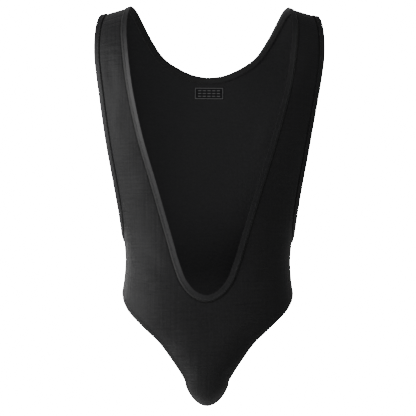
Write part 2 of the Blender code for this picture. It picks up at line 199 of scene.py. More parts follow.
class Shape:
    """The form of the front or the back as sections, each at its level down the cloth."""

    def __init__(self, sections, sign):
        self.sign = sign
        levels = self.section_levels(sections)
        self.bottom = levels[-1]
        self.knots = [-level for level in levels]
        self.columns = {name: [getattr(s, name) for s in sections] for name in Section._fields}

    def section_levels(self, sections):
        levels = [sections[0].height]
        for above, below in zip(sections, sections[1:]):
            drop = above.height - below.height
            if below.height < PLAIN_BOTTOM:
                forth = below.middle - above.middle + self.sign * (below.depth - above.depth)
                drop = math.hypot(drop, forth)
            levels.append(levels[-1] - drop)
        return levels

    def read(self, name, level):
        return through(self.knots, self.columns[name], -np.asarray(level, float))

    def edge_angle(self, reach, level):
        share = np.minimum(np.abs(reach) / self.read("width", level), 1.0)
        return self.own_angle(np.arcsin(share ** (POWER / 2)))

    def own_angle(self, angle):
        other = math.pi - angle
        return np.minimum(angle, other) if self.sign < 0 else np.maximum(angle, other)


FRONT = Shape(FRONT_SECTIONS, -1)
BACK = Shape(BACK_SECTIONS, 1)


def ridge(x):
    """The height of the shoulder seam at x."""
    return SHOULDER_SLOPE * (math.hypot(NECK_POINT, SHOULDER_ROUND) - np.hypot(x, SHOULDER_ROUND))


def shoulder_width(turn):
    height = CHEST_TOP + (SHOULDER_TIP - CHEST_TOP) * np.sin(turn)
    reach = through([-p.height for p in ARM_EDGE], [p.reach for p in ARM_EDGE], -height)
    return STRAP_WRAP * reach


def cloth(angle, level):
    """Points on the outer face. The angle runs from 0 at the centre front round to pi at the centre back."""
    angle = np.asarray(angle, float)
    level = np.asarray(level, float)
    front = np.cos(angle) >= 0
    across = np.sign(np.sin(angle)) * np.abs(np.sin(angle)) ** (2 / POWER)
    forth = np.where(front, -1, 1) * np.abs(np.cos(angle)) ** (2 / POWER)

    def pick(name, at):
        return np.where(front, FRONT.read(name, at), BACK.read(name, at))

    turn = np.clip(1 - level / CHEST_TOP, 0, 1) * SIDE
    over_x = shoulder_width(turn) * across
    over_y = pick("depth", np.full_like(level, CHEST_TOP)) * forth * np.cos(turn)
    over_z = CHEST_TOP + (ridge(over_x) - CHEST_TOP) * np.sin(turn)
    x = pick("width", level) * across
    y = pick("middle", level) + pick("depth", level) * forth
    z = pick("height", level) + pick("rise", level) * across**2
    over = level > CHEST_TOP
    return np.stack([np.where(over, over_x, x), np.where(over, over_y, y), np.where(over, over_z, z)], axis=-1)


def seen(shape, x, z):
    """The places of the cloth that is seen at x and z from straight ahead."""
    share = np.clip((z - CHEST_TOP) / (ridge(x) - CHEST_TOP), 0, 1)
    turn = np.arcsin(share)
    share = np.minimum(np.abs(x) / shoulder_width(turn), 1.0)
    angle = shape.own_angle(np.arcsin(share ** (POWER / 2)))
    low = z <= CHEST_TOP
    return np.where(low, shape.edge_angle(x, z), angle), np.where(low, z, CHEST_TOP * (1 - turn / SIDE))


def locate(points):
    """The places on the cloth of points that are on it or just beside it."""
    x, y, z = np.moveaxis(points, -1, 0)
    found = []
    for shape in (FRONT, BACK):
        over_angle, over_level = seen(shape, x, z)
        across = np.abs(x / shape.read("width", z)) ** (POWER / 2)
        forth = np.abs((y - shape.read("middle", z)) / shape.read("depth", z)) ** (POWER / 2)
        angle = shape.own_angle(np.arctan2(across, forth))
        found.append((np.where(z > CHEST_TOP, over_angle, angle), np.where(z > CHEST_TOP, over_level, z)))
    front = y <= 0
    return np.where(front, found[0][0], found[1][0]), np.where(front, found[0][1], found[1][1])


def unit(vectors):
    return vectors / np.maximum(np.linalg.norm(vectors, axis=-1, keepdims=True), 1e-12)


def run_along(line):
    """How far along a line of points each point is."""
    return np.concatenate([[0], np.cumsum(np.linalg.norm(np.diff(line, axis=0), axis=1))])


def read_line(line, run, at):
    """The line's points, or the normals there, at these distances along it."""
    return np.stack([np.interp(at, run, line[:, k]) for k in range(3)], axis=-1)


def outward(angle, level):
    """The cloth's outward normals, from its slopes both ways."""
    step = 1e-4
    upper = np.minimum(level + step, -1e-6)
    by_angle = cloth(angle + step, level) - cloth(angle - step, level)
    by_level = cloth(angle, upper) - cloth(angle, level - step)
    return unit(np.cross(by_angle, by_level))


def on_cloth(places, sign=1):
    """The cloth's points and outward normals at places. The sign -1 gives the body's other side."""
    angles, levels = places.T
    return cloth(angles, levels) * (sign, 1, 1), outward(angles, levels) * (sign, 1, 1)


def pick_rows(angles, levels, count):
    """Picks count + 1 places along a traced edge, closer together where it bends."""
    steps = np.diff(cloth(angles, levels), axis=0)
    lengths = np.linalg.norm(steps, axis=1)
    ways = steps / lengths[:, None]
    bends = np.arccos(np.clip((ways[1:] * ways[:-1]).sum(axis=1), -1, 1))
    run = np.concatenate([[0], np.cumsum(lengths + BEND_LENGTH * np.concatenate([[0], bends]))])
    at = np.linspace(0, run[-1], count + 1)
    return np.stack([np.interp(at, run, angles), np.interp(at, run, levels)], axis=-1)


def neck_rows(shape, points, count):
    """Half a neckline, from the shoulder seam to the centre."""
    mirrored = points + [NeckPoint(-points[-2].half, points[-2].height)]
    halves = np.array([p.half for p in mirrored])
    heights = np.array([p.height for p in mirrored])
    run = np.concatenate([[0], np.cumsum(np.hypot(np.diff(halves), np.diff(heights)))])
    at = run[-2] * np.linspace(0, 1, TRACE) ** 2
    angles, levels = seen(shape, np.abs(through(run, halves, at)), through(run, heights, at))
    angles[-1] = 0.0 if shape is FRONT else math.pi
    return pick_rows(angles, levels, count)


def armhole_rows(shape, count):
    """The armhole's edge on one side of it, from the shoulder seam to the side seam."""
    strap_angle = shape.edge_angle(shape.read("width", CHEST_TOP) / STRAP_WRAP, CHEST_TOP)
    over = CHEST_TOP * np.linspace(0, 1, TRACE)
    down = ARMHOLE_BOTTOM + (CHEST_TOP - ARMHOLE_BOTTOM) * (1 - np.linspace(0, 1, TRACE)[1:]) ** 2
    angles = shape.edge_angle(shape.read("reach", down), down)
    angles[-1] = SIDE
    angles = np.concatenate([np.full(TRACE, strap_angle), angles])
    return pick_rows(angles, np.concatenate([over, down]), count)


def leg_rows(shape, count):
    """The leg's edge, from the hip point to the crotch seam."""
    levels = HIP_POINT + (shape.bottom - HIP_POINT) * np.linspace(0, 1, TRACE) ** 2
    angles = shape.edge_angle(shape.read("reach", levels), levels)
    angles[0] = SIDE
    return pick_rows(angles, levels, count)


class Edge:
    """A bound edge: its rows, and at each the way across the cloth, away from the opening."""

    def __init__(self, places, closed):
        self.places = places
        self.points, normals = on_cloth(places)
        before = np.roll(self.points, 1, axis=0)
        after = np.roll(self.points, -1, axis=0)
        if not closed:
            before[0] = after[0] * (-1, 1, 1)
            after[-1] = before[-1] * (-1, 1, 1)
        self.ways = unit(np.cross(after - before, normals))

    def across(self, distance):
        """The places on the cloth this far from the edge, at each row."""
        if not distance:
            return self.places
        step = np.full(len(self.points), float(distance))
        for _ in range(CORRECTIONS):
            angles, levels = locate(self.points + self.ways * step[:, None])
            step *= distance / np.linalg.norm(cloth(angles, levels) - self.points, axis=1)
        return np.stack([angles, levels], axis=-1)

    def line(self, shape, rows, distance):
        places = self.across(distance)[rows]
        places[:, 0] = shape.own_angle(places[:, 0])
        return places


# Soft creases. Each runs through three places, as x and z seen from the front or the back, and has a depth
# and a width. A positive depth is a ridge and a negative one a trough
FRONT_CREASES = (
    ((-0.176, -0.075), (-0.17, -0.12), (-0.16, -0.175), -0.0016, 0.01),
    ((-0.15, -0.15), (-0.156, -0.2), (-0.15, -0.255), 0.0012, 0.012),
    ((-0.158, -0.275), (-0.136, -0.3), (-0.112, -0.34), -0.0011, 0.011),
    ((-0.142, -0.405), (-0.11, -0.425), (-0.074, -0.452), -0.0014, 0.01),
    ((-0.136, -0.44), (-0.104, -0.462), (-0.07, -0.482), 0.0009, 0.009),
    ((0.181, -0.09), (0.172, -0.14), (0.164, -0.2), -0.0014, 0.011),
    ((0.156, -0.25), (0.138, -0.29), (0.116, -0.322), 0.0011, 0.012),
    ((0.143, -0.398), (0.112, -0.412), (0.084, -0.44), -0.0012, 0.009),
    ((0.138, -0.452), (0.104, -0.47), (0.062, -0.496), -0.0009, 0.01),
    ((-0.098, -0.548), (-0.064, -0.56), (-0.03, -0.586), -0.0011, 0.01),
    ((0.104, -0.543), (0.07, -0.562), (0.04, -0.592), -0.0012, 0.009),
    ((-0.052, -0.618), (-0.036, -0.632), (-0.016, -0.64), -0.0012, 0.007),
    ((0.05, -0.622), (0.034, -0.634), (0.018, -0.645), -0.001, 0.007),
)
BACK_CREASES = (
    ((-0.15, -0.33), (-0.1, -0.352), (-0.04, -0.36), -0.0018, 0.012),
    ((0.146, -0.345), (0.096, -0.372), (0.03, -0.38), -0.002, 0.011),
    ((-0.132, -0.402), (-0.08, -0.416), (-0.016, -0.418), -0.0022, 0.013),
    ((0.136, -0.42), (0.082, -0.436), (0.02, -0.434), 0.0014, 0.012),
    ((-0.09, -0.455), (-0.03, -0.464), (0.045, -0.456), -0.0016, 0.012),
    ((-0.128, -0.18), (-0.096, -0.232), (-0.082, -0.29), -0.0014, 0.013),
    ((0.132, -0.17), (0.104, -0.215), (0.09, -0.262), -0.0012, 0.014),
    ((-0.104, -0.53), (-0.066, -0.548), (-0.034, -0.58), -0.0015, 0.011),
    ((0.098, -0.528), (0.064, -0.556), (0.03, -0.602), -0.0013, 0.01),
    ((-0.02, -0.64), (-0.004, -0.612), (0.01, -0.585), 0.0009, 0.008),
)
CREASES = [(FRONT, *c) for c in FRONT_CREASES] + [(BACK, *c) for c in BACK_CREASES]
CREASE_STEPS = 24


def crease_paths():
    """Each crease as points on the cloth, with its depth there, which fades to both ends."""
    paths = []
    for shape, *places, depth, width in CREASES:
        x, z = np.array(places).T
        at = np.linspace(0, 1, CREASE_STEPS)
        x, z = through([0, 0.5, 1], x, at), through([0, 0.5, 1], z, at)
        level = -np.interp(-z, [-h for h in shape.columns["height"][:-2]], shape.knots[:-2])
        angle, over_level = seen(shape, x, z)
        angle = np.where(z > CHEST_TOP, angle, shape.edge_angle(x, level))
        points = cloth(angle, np.where(z > CHEST_TOP, over_level, level))
        points[:, 0] = x
        paths.append((points, depth * np.sin(math.pi * at) ** 1.5, width))
    return paths


PATHS = crease_paths()


def crease_lift(points):
    """How far the creases move the cloth out at these points."""
    flat = points.reshape(-1, 3)
    lift = np.zeros(len(flat))
    for path, depths, width in PATHS:
        near = np.flatnonzero(((flat > path.min(0) - 4 * width) & (flat < path.max(0) + 4 * width)).all(axis=1))
        if not len(near):
            continue
        gaps = ((flat[near, None, :] - path[None, :, :]) ** 2).sum(axis=2)
        closest = gaps.argmin(axis=1)
        lift[near] += depths[closest] * np.exp(-gaps.min(axis=1) / width**2)
    return lift.reshape(points.shape[:-1])


def gap_to(points, line):
    """The distance from each point to a line, given as close points."""
    flat = points.reshape(-1, 3)
    best = np.full(len(flat), np.inf)
    for at in range(0, len(line), 64):
        gaps = ((flat[:, None, :] - line[None, at:at + 64, :]) ** 2).sum(axis=2)
        best = np.minimum(best, gaps.min(axis=1))
    return np.sqrt(best).reshape(points.shape[:-1])


def dense(line, step=0.001):
    """The same line with points every millimetre."""
    run = run_along(line)
    return read_line(line, run, np.linspace(0, run[-1], int(run[-1] / step) + 2))


def soft_step(value, start, end):
    t = np.clip((value - start) / (end - start), 0, 1)
    return t * t * (3 - 2 * t)


def new_object(name, data):
    obj = bpy.data.objects.new(name, data)
    bpy.context.scene.collection.objects.link(obj)
    return obj


def make_piece(name, points, faces, material, attributes=(), uv=None):
    """A mesh piece with its material, named float attributes and a UV map in metres."""
    mesh = bpy.data.meshes.new(name)
    mesh.from_pydata(np.asarray(points).tolist(), [], faces)
    for key, values in attributes:
        mesh.attributes.new(key, "FLOAT", "POINT").data.foreach_set("value", np.asarray(values, np.float32))
    if uv is not None:
        layer = mesh.uv_layers.new(name="knit")
        corners = np.empty(len(mesh.loops), np.int32)
        mesh.loops.foreach_get("vertex_index", corners)
        layer.data.foreach_set("uv", np.asarray(uv, np.float32)[corners].ravel())
    mesh.materials.append(material)
    mesh.shade_smooth()
    return new_object(name, mesh)


def weld(piece):
    """Joins the two halves of a piece where they meet."""
    bm = bmesh.new()
    bm.from_mesh(piece.data)
    bmesh.ops.remove_doubles(bm, verts=[v for v in bm.verts if abs(v.co.x) < 1e-5], dist=2e-5)
    bm.to_mesh(piece.data)
    bm.free()


def sharpen(piece, degrees):
    piece.data.set_sharp_from_angle(angle=math.radians(degrees))


def turn_front(piece):
    """Moves the front a little to the wearer's right, most at the waist."""
    vertices = piece.data.vertices
    points = np.empty(3 * len(vertices))
    vertices.foreach_get("co", points)
    x, y, z = points.reshape(-1, 3).T
    amount = soft_step(-z, *TURN_START) * (1 - soft_step(-z, *TURN_END))
    points[0::3] = x - FRONT_TURN * amount * soft_step(-y, *TURN_FORWARD)
    vertices.foreach_set("co", points)
    piece.data.update()


def strip(first, second, flip=False):
    """Quads between two equal rows of vertex numbers."""
    quads = np.stack([first[:-1], first[1:], second[1:], second[:-1]], axis=-1)
    return (quads[:, ::-1] if flip else quads).tolist()


def knit_uv(shape, angles, levels):
    """The cloth laid flat, in metres: along the row from the centre, and down the level."""
    centre = 0.0 if shape is FRONT else math.pi
    share = np.linspace(0, 1, UV_STEPS + 1)
    deep = np.repeat(levels[..., None], UV_STEPS + 1, axis=-1)
    path = cloth(centre + (angles[..., None] - centre) * share, deep)
    along = np.linalg.norm(np.diff(path, axis=-2), axis=-1).sum(axis=-1)
    return np.stack([along, levels], axis=-1)


def make_panel(name, shape, inner, outer, neck_count, seams, leg_line, material):
    """A panel as a wall with both faces, and a turned hem at the legs, whose stitch lines come back too."""
    share = np.linspace(0, 1, COLUMNS + 1)
    share = share - EDGE_CROWDING * np.sin(2 * math.pi * share) / (2 * math.pi)
    angles = inner[:, :1] + (outer[:, :1] - inner[:, :1]) * share
    levels = inner[:, 1:] + (outer[:, 1:] - inner[:, 1:]) * share
    base = cloth(angles, levels)
    normals = outward(angles, levels)
    # On the centre plane the normal has no part across it
    centre = np.abs(base[..., 0]) < 1e-7
    normals[centre] = unit(normals[centre] * (0, 1, 1))
    from_hem = gap_to(base, leg_line)
    from_neck = gap_to(base, seams[0][0])
    dip = SEAM_DIP * np.exp(-((base[..., 1] / SEAM_REACH) ** 2))
    for line, depth in seams:
        dip = np.maximum(dip, depth * np.exp(-((gap_to(base, line) / SEAM_REACH) ** 2)))
    hem = 1 - soft_step(from_hem, HEM_WIDTH + HEM_RISE[0], HEM_WIDTH + HEM_RISE[1])
    stitch_dip = NEEDLE_DIP * np.exp(-(((from_hem - HEM_STITCHES[0]) / NEEDLE_REACH) ** 2))
    uv = knit_uv(shape, angles, levels)
    rows, columns = angles.shape
    last = columns - 1
    points, faces, flat = [], [], []
    count = rows * columns
    values = {"from_hem": [], "from_neck": [], "inside": []}
    for sign in (1, -1):
        place = base * (sign, 1, 1)
        normal = normals * (sign, 1, 1)
        lift = crease_lift(place) + HEM_LIFT * hem - dip - stitch_dip
        outside = place + normal * lift[..., None]
        inside = place + normal * (lift - WALL - HEM_FOLD * hem)[..., None]
        # The rim bulges only at the hem
        half = (outside[:, last] - inside[:, last]) / 2
        middle = (outside[:, last] + inside[:, last]) / 2
        bulge = unit(outside[:, last] - outside[:, last - 1]) * (HEM_BEAD * hem[:, last] + 0.00002)[:, None]
        turns = [math.radians(a) for a in (35, 90, 145)]
        rim = [middle + half * math.cos(a) + bulge * math.sin(a) for a in turns]

        start = len(points)
        for part in [outside.reshape(-1, 3), inside.reshape(-1, 3), *rim]:
            points.extend(part.tolist())
        outer_ids = start + np.arange(count).reshape(rows, columns)
        inner_ids = outer_ids + count
        rim_ids = [start + 2 * count + k * rows + np.arange(rows) for k in range(len(rim))]
        flip = (sign < 0) != (shape is BACK)
        for r in range(rows - 1):
            faces += strip(outer_ids[r], outer_ids[r + 1], flip=not flip)
            faces += strip(inner_ids[r], inner_ids[r + 1], flip=flip)
        ladder = [outer_ids[:, last]] + rim_ids + [inner_ids[:, last]]
        for a, b in zip(ladder, ladder[1:]):
            faces += strip(a, b, flip=flip)
        necks = slice(0, neck_count + 1)
        faces += strip(outer_ids[necks, 0], inner_ids[necks, 0], flip=not flip)
        for r, turned in ((0, flip), (rows - 1, not flip)):
            faces += strip(outer_ids[r], inner_ids[r], flip=turned)
            cap = [int(ids[r]) for ids in ladder]
            faces.append(cap[::-1] if turned else cap)
        for key, gaps in (("from_hem", from_hem), ("from_neck", from_neck)):
            values[key] += [gaps.ravel()] * 2 + [gaps[:, last]] * len(rim)
        values["inside"] += [np.zeros(count), np.ones(count)] + [np.zeros(rows)] * len(rim)
        turned_uv = uv * (sign, 1)
        flat += [turned_uv.reshape(-1, 2)] * 2 + [turned_uv[:, last]] * len(rim)

    points = np.array(points)
    # Both panels meet in the plane through the seams
    points[:, 1] = shape.sign * np.maximum(shape.sign * points[:, 1], 0)
    attributes = [(key, np.concatenate(parts)) for key, parts in values.items()]
    piece = make_piece(name, points, faces, material, attributes, np.concatenate(flat))
    weld(piece)
    sharpen(piece, 60)
    return piece, [row_crossings(angles, levels, from_hem, distance) for distance in HEM_STITCHES]


def row_crossings(angles, levels, gaps, distance):
    """The places where the rows of a panel come this far from its hem, coming in from the hem."""
    places = []
    for row_angles, row_levels, row_gaps in zip(angles, levels, gaps):
        k = len(row_gaps) - 1
        if row_gaps[k] >= distance or row_gaps.max() < distance:
            continue
        while row_gaps[k] < distance:
            k -= 1
        share = (distance - row_gaps[k + 1]) / (row_gaps[k] - row_gaps[k + 1])
        places.append([v[k + 1] + (v[k] - v[k + 1]) * share for v in (row_angles, row_levels)])
    return np.array(places)


# A binding's section, from the opening's edge to the seam: how far across, and how high
BindingPoint = namedtuple("BindingPoint", "across lift")
BINDING_SECTION = [BindingPoint(*p) for p in (
    (0.001, 0.0012), (-0.0002, 0.002), (-0.0008, 0.00233), (-0.00074, 0.0024), (-0.0006, 0.0024),
    (0.0004, 0.00232), (0.002, 0.0021), (0.0034, 0.0019), (0.0048, 0.0017), (0.0062, 0.0015),
    (0.0068, 0.0014), (0.0071, 0.00135), (0.0075, 0.0014), (0.0084, 0.0015), (0.0092, 0.00135),
    (0.0097, 0.0012), (0.0102, 0.0011), (0.0109, 0.0007), (0.0116, 0.0002), (0.0122, -0.0004),
    (0.0125, -0.0012), (0.0124, -0.002), (0.0118, -0.0026), (0.0104, -0.0026), (0.0088, -0.0023),
    (0.007, -0.002), (0.005, -0.0019), (0.004, -0.0016), (0.0032, -0.0009), (0.0024, -0.0001),
    (0.0017, 0.0006),
)]
# The section's first and last points on the outer face. The rest take the darker inside colour: under the fold,
# and on the undercut wall at the opening's edge, where that darker colour is painted shade
BINDING_FACE = (2, 19)
# The strip beside the seam, with painted shade in its colour and a duller knit, begins over this stretch
BINDING_SHADE_STRIP = (0.0090, 0.0104)
# The two rows of stitches on the face
BINDING_STITCHES = (BindingPoint(0.0071, 0.0015), BindingPoint(0.0097, 0.00137))
# The panels' painted shadow, a dark line beside the neck binding: how far from their own edge, how wide to each
# side, and its colour, which also paints the shade on the bindings beside their seam
NECK_PAINTED_SHADOW = (0.0018, 0.0028)
PAINTED_SHADE_COLOUR = (0.0025, 0.0025, 0.0028)


def make_binding(name, edge, side, material):
    """A folded strip along an edge. Side 0 makes both halves of the neckline, and 1 or -1 one armhole."""
    rings = []
    for k, corner in enumerate(BINDING_SECTION):
        base, normal = on_cloth(edge.across(corner.across))
        if side == 0:
            centre = [0, -1]
            base[centre] *= (0, 1, 1)
            normal[centre] = unit(normal[centre] * (0, 1, 1))
        # Off the outer face: under the fold, and the undercut wall at the opening's edge, whose darker colour
        # is painted shade
        under = float(not BINDING_FACE[0] <= k <= BINDING_FACE[1])
        rings.append((corner, base, normal, under, soft_step(corner.across, *BINDING_SHADE_STRIP)))
    run = run_along(edge.points)
    points, faces, inside, by_seam, flat = [], [], [], [], []
    rows = len(edge.points)
    for sign in (1, -1) if side == 0 else (side,):
        start = len(points)
        for corner, base, normal, under, near in rings:
            place = base * (sign, 1, 1)
            turned = normal * (sign, 1, 1)
            points.extend((place + turned * (crease_lift(place) + corner.lift)[:, None]).tolist())
            inside.append(np.full(rows, under))
            by_seam.append(np.full(rows, near))
            flat.append(np.stack([run * sign, np.full(rows, corner.across)], axis=-1))
        ids = start + np.arange(len(rings) * rows).reshape(len(rings), rows)
        if side:
            ids = np.concatenate([ids, ids[:, :1]], axis=1)
        for s in range(len(rings)):
            faces += strip(ids[s], ids[(s + 1) % len(rings)], flip=sign > 0)
    attributes = [("inside", np.concatenate(inside)), ("by_seam", np.concatenate(by_seam))]
    piece = make_piece(name, points, faces, material, attributes, np.concatenate(flat))
    if side == 0:
        weld(piece)
    sharpen(piece, 80)
    return piece


# The allowance inside a seam, pressed to the back: how far from the seam, and how far under the inner face
AllowancePoint = namedtuple("AllowancePoint", "across under")
ALLOWANCE_SECTION = [AllowancePoint(*p) for p in (
    (-0.0012, 0.0001), (-0.001, 0.0006), (0.0002, 0.0011), (0.003, 0.0012), (0.0056, 0.0011),
    (0.0062, 0.0006), (0.006, 0.0001), (0.002, -0.0002),
)]


def make_allowances(name, lines, material):
    """The overlocked allowances inside seams that lie in the plane y = 0, each given as places and a side."""
    points, faces, flat = [], [], []
    for places, sign in lines:
        base, normal = on_cloth(places, sign)
        base[:, 1] = 0
        normal = unit(normal * (1, 0, 1))
        run = run_along(base)
        start, rows = len(points), len(base)
        for corner in ALLOWANCE_SECTION:
            lift = crease_lift(base) - WALL - corner.under
            points.extend((base + normal * lift[:, None] + (0, corner.across, 0)).tolist())
            flat.append(np.stack([run, np.full(rows, corner.across)], axis=-1))
        ids = start + np.arange(len(ALLOWANCE_SECTION) * rows).reshape(-1, rows)
        way = unit(np.diff(base, axis=0)[:1])[0]
        flip = np.dot(np.cross(way, (0, 1, 0)), normal[0]) > 0
        for s in range(len(ids)):
            faces += strip(ids[s], ids[(s + 1) % len(ids)], flip=flip)
        for end in (ids[:, 0], ids[::-1, -1]):
            faces.append((end[::-1] if flip else end).tolist())
    piece = make_piece(name, points, faces, material, (), np.concatenate(flat))
    sharpen(piece, 60)
    return piece


def stitch_form(length, thickness):
    """One stitch, lying along X: a thread that swells in the middle and dips at both ends."""
    bpy.ops.mesh.primitive_cylinder_add(
        vertices=6, radius=thickness / 2, depth=length * 0.5, rotation=(0, math.pi / 2, 0), location=(0, 0, 0)
    )
    stitch = bpy.context.active_object
    bpy.ops.object.transform_apply(rotation=True)
    bpy.ops.object.mode_set(mode="EDIT")
    for end in (1, -1):
        bpy.ops.mesh.select_all(action="DESELECT")
        bpy.ops.object.mode_set(mode="OBJECT")
        for face in stitch.data.polygons:
            face.select = face.normal.x * end > 0.9
        bpy.ops.object.mode_set(mode="EDIT")
        bpy.ops.mesh.select_mode(type="FACE")
        shift = (end * length * 0.25, 0, -thickness * 0.45)
        bpy.ops.mesh.extrude_region_move(TRANSFORM_OT_translate={"value": shift})
        bpy.ops.transform.resize(value=(1, 0.45, 0.45))
    bpy.ops.object.mode_set(mode="OBJECT")
    # Extruding orders the points its own way each run, so points and faces are sorted by their places
    points = np.array([v.co[:] for v in stitch.data.vertices])
    order = np.lexsort(np.round(points, 7).T)
    rank = np.argsort(order)
    faces = []
    for face in stitch.data.polygons:
        ring = rank[list(face.vertices)].tolist()
        first = ring.index(min(ring))
        faces.append(ring[first:] + ring[:first])
    bpy.data.objects.remove(stitch, do_unlink=True)
    return points[order], sorted(faces)


def make_stitches(name, lines, material, pitch=0.0028, length=0.0024, thickness=0.00042):
    """Rows of stitches along lines, each given as its points and the cloth's normals there."""
    form, form_faces = stitch_form(length, thickness)
    points, faces = [], []
    for line, normals in lines:
        run = run_along(line)
        count = int(run[-1] / pitch)
        at = (np.arange(count) + 0.5) * run[-1] / count
        place = read_line(line, run, at)
        up = unit(read_line(normals, run, at))
        along = unit(read_line(line, run, at + pitch / 3) - read_line(line, run, at - pitch / 3))
        side = unit(np.cross(up, along))
        up = np.cross(along, side)
        for p, x, y, z in zip(place, along, side, up):
            start = len(points)
            points.extend((p + form @ np.stack([x, y, z])).tolist())
            faces += [tuple(start + v for v in face) for face in form_faces]
    return make_piece(name, points, faces, material)


def lifted_line(places, lift, sign):
    """A line of places moved out of the cloth, with the normals there."""
    base, normal = on_cloth(places, sign)
    return base + normal * (crease_lift(base) + lift)[:, None], normal


SHADER_INPUTS = ("Base Color", "Roughness", "Sheen Weight", "Sheen Roughness", "Specular IOR Level")


class Looks:
    """Builds a material's nodes one after another."""

    def __init__(self, name, colour, roughness, sheen, sheen_roughness, specular):
        self.material = bpy.data.materials.new(name)
        self.material.use_nodes = True
        self.tree = self.material.node_tree
        self.shader = self.tree.nodes["Principled BSDF"]
        for key, value in zip(SHADER_INPUTS, ((*colour, 1), roughness, sheen, sheen_roughness, specular)):
            self.shader.inputs[key].default_value = value

    def node(self, kind, **settings):
        node = self.tree.nodes.new(kind)
        for key, value in settings.items():
            if key in node.inputs:
                node.inputs[key].default_value = value
            else:
                setattr(node, key, value)
        return node

    def link(self, source, target):
        self.tree.links.new(source, self.shader.inputs[target] if isinstance(target, str) else target)

    def math(self, operation, first, second=0.0, third=0.0):
        node = self.node("ShaderNodeMath", operation=operation)
        for socket, value in zip(node.inputs, (first, second, third)):
            if isinstance(value, (int, float)):
                socket.default_value = value
            else:
                self.link(value, socket)
        return node.outputs[0]

    def times(self, first, second):
        return self.math("MULTIPLY", first, second)

    def read(self, name):
        return self.node("ShaderNodeAttribute", attribute_name=name).outputs["Fac"]

    def uv(self):
        return self.node("ShaderNodeUVMap", uv_map="knit").outputs["UV"]

    def hump(self, value, centre, width):
        """1 where the value is at the centre, and 0 from the width on."""
        gap = self.math("ABSOLUTE", self.math("SUBTRACT", value, centre))
        reach = {"From Min": width, "From Max": 0.0}
        node = self.node("ShaderNodeMapRange", interpolation_type="SMOOTHSTEP", **reach)
        self.link(gap, node.inputs["Value"])
        return node.outputs["Result"]

    def scaled(self, vector, x, y):
        node = self.node("ShaderNodeMapping")
        node.inputs["Scale"].default_value = (x, y, 1)
        self.link(vector, node.inputs["Vector"])
        return node.outputs["Vector"]

    def noise(self, vector, scale, detail=2.0, roughness=0.5):
        node = self.node("ShaderNodeTexNoise", Scale=scale, Detail=detail, Roughness=roughness)
        self.link(vector, node.inputs["Vector"])
        return node.outputs["Fac"]

    def bump(self, height, distance, strength=1.0, under=None):
        node = self.node("ShaderNodeBump", Distance=distance, Strength=strength)
        self.link(height, node.inputs["Height"])
        if under is not None:
            self.link(under, node.inputs["Normal"])
        return node.outputs["Normal"]

    def tint(self, factor, dark, light, inside=None, shade=None):
        """A base colour between two, by the factor, with one for the inside and a painted shade colour by a
        seam.
        """
        colour = self.blend(factor, (*dark, 1), (*light, 1))
        if shade is not None:
            colour = self.blend(shade, colour, (*PAINTED_SHADE_COLOUR, 1))
        if inside is not None:
            colour = self.blend(self.read("inside"), colour, (*inside, 1))
        self.link(colour, "Base Color")

    def blend(self, factor, first, second):
        node = self.node("ShaderNodeMix", data_type="RGBA")
        self.link(factor, node.inputs["Factor"])
        sockets = [socket for socket in node.inputs if socket.type == "RGBA"]
        for socket, colour in zip(sockets, (first, second)):
            if isinstance(colour, tuple):
                socket.default_value = colour
            else:
                self.link(colour, socket)
        return [socket for socket in node.outputs if socket.type == "RGBA"][0]


def knit_loops(looks, uv, wale, course):
    """The height of fine knit loops: wales this wide and courses this high, in metres."""
    parts = looks.node("ShaderNodeSeparateXYZ")
    looks.link(uv, parts.inputs[0])
    u = looks.times(parts.outputs[0], 2 * math.pi / wale)
    v = looks.times(parts.outputs[1], 2 * math.pi / course)
    legs = looks.math("ABSOLUTE", looks.math("SINE", looks.times(u, 0.5)))
    bow = looks.times(legs, 2.2)
    loops = looks.math("SINE", looks.math("ADD", v, bow))
    return looks.math("ADD", looks.times(loops, 0.5), legs)


def make_knit():
    looks = Looks("black knit cloth", (0.012, 0.012, 0.013), 0.58, 0.15, 0.5, 0.38)
    uv = looks.uv()
    loops = knit_loops(looks, uv, 0.0011, 0.0009)
    rows = looks.noise(looks.scaled(uv, 20, 240), 1.0, 2.0, 0.6)
    wales = looks.noise(looks.scaled(uv, 190, 9), 1.0, 2.0, 0.5)
    cloudy = looks.noise(looks.scaled(uv, 1, 1), 26.0, 3.0, 0.55)
    streaks = looks.math("ADD", looks.times(rows, 0.6), looks.times(wales, 0.4))
    looks.tint(
        looks.math("ADD", looks.times(streaks, 0.7), looks.times(cloudy, 0.3)),
        (0.007, 0.007, 0.0077),
        (0.018, 0.018, 0.0192),
        (0.0172, 0.0172, 0.0184),
        # Painted shadow along the neck seam: the panels are darkened beside the binding
        looks.hump(looks.read("from_neck"), *NECK_PAINTED_SHADOW),
    )
    shine = looks.node("ShaderNodeMapRange", **{"To Min": 0.52, "To Max": 0.66})
    looks.link(streaks, shine.inputs["Value"])
    dull = looks.math("MULTIPLY_ADD", looks.read("inside"), 0.16, shine.outputs["Result"])
    looks.link(dull, "Roughness")
    normal = looks.bump(loops, 0.00012, 0.55)
    # Both are fainter on the inside
    outside = looks.math("MULTIPLY_ADD", looks.read("inside"), -0.8, 1.0)
    patch = looks.math("MULTIPLY_ADD", looks.noise(uv, 11.0, 1.0, 0.5), 3.0, -0.9)
    patch = looks.times(outside, looks.math("MAXIMUM", patch, 0.2))
    normal = looks.bump(looks.times(rows, patch), 0.0030, 0.75, normal)
    normal = looks.bump(looks.times(wales, outside), 0.0010, 0.6, normal)
    # The hem's needle lines are grooves
    hem = looks.read("from_hem")
    lines = looks.math("ADD", *[looks.hump(hem, line, 0.0006) for line in HEM_STITCHES])
    normal = looks.bump(lines, -0.0004, 0.8, normal)
    looks.link(normal, "Normal")
    return looks.material


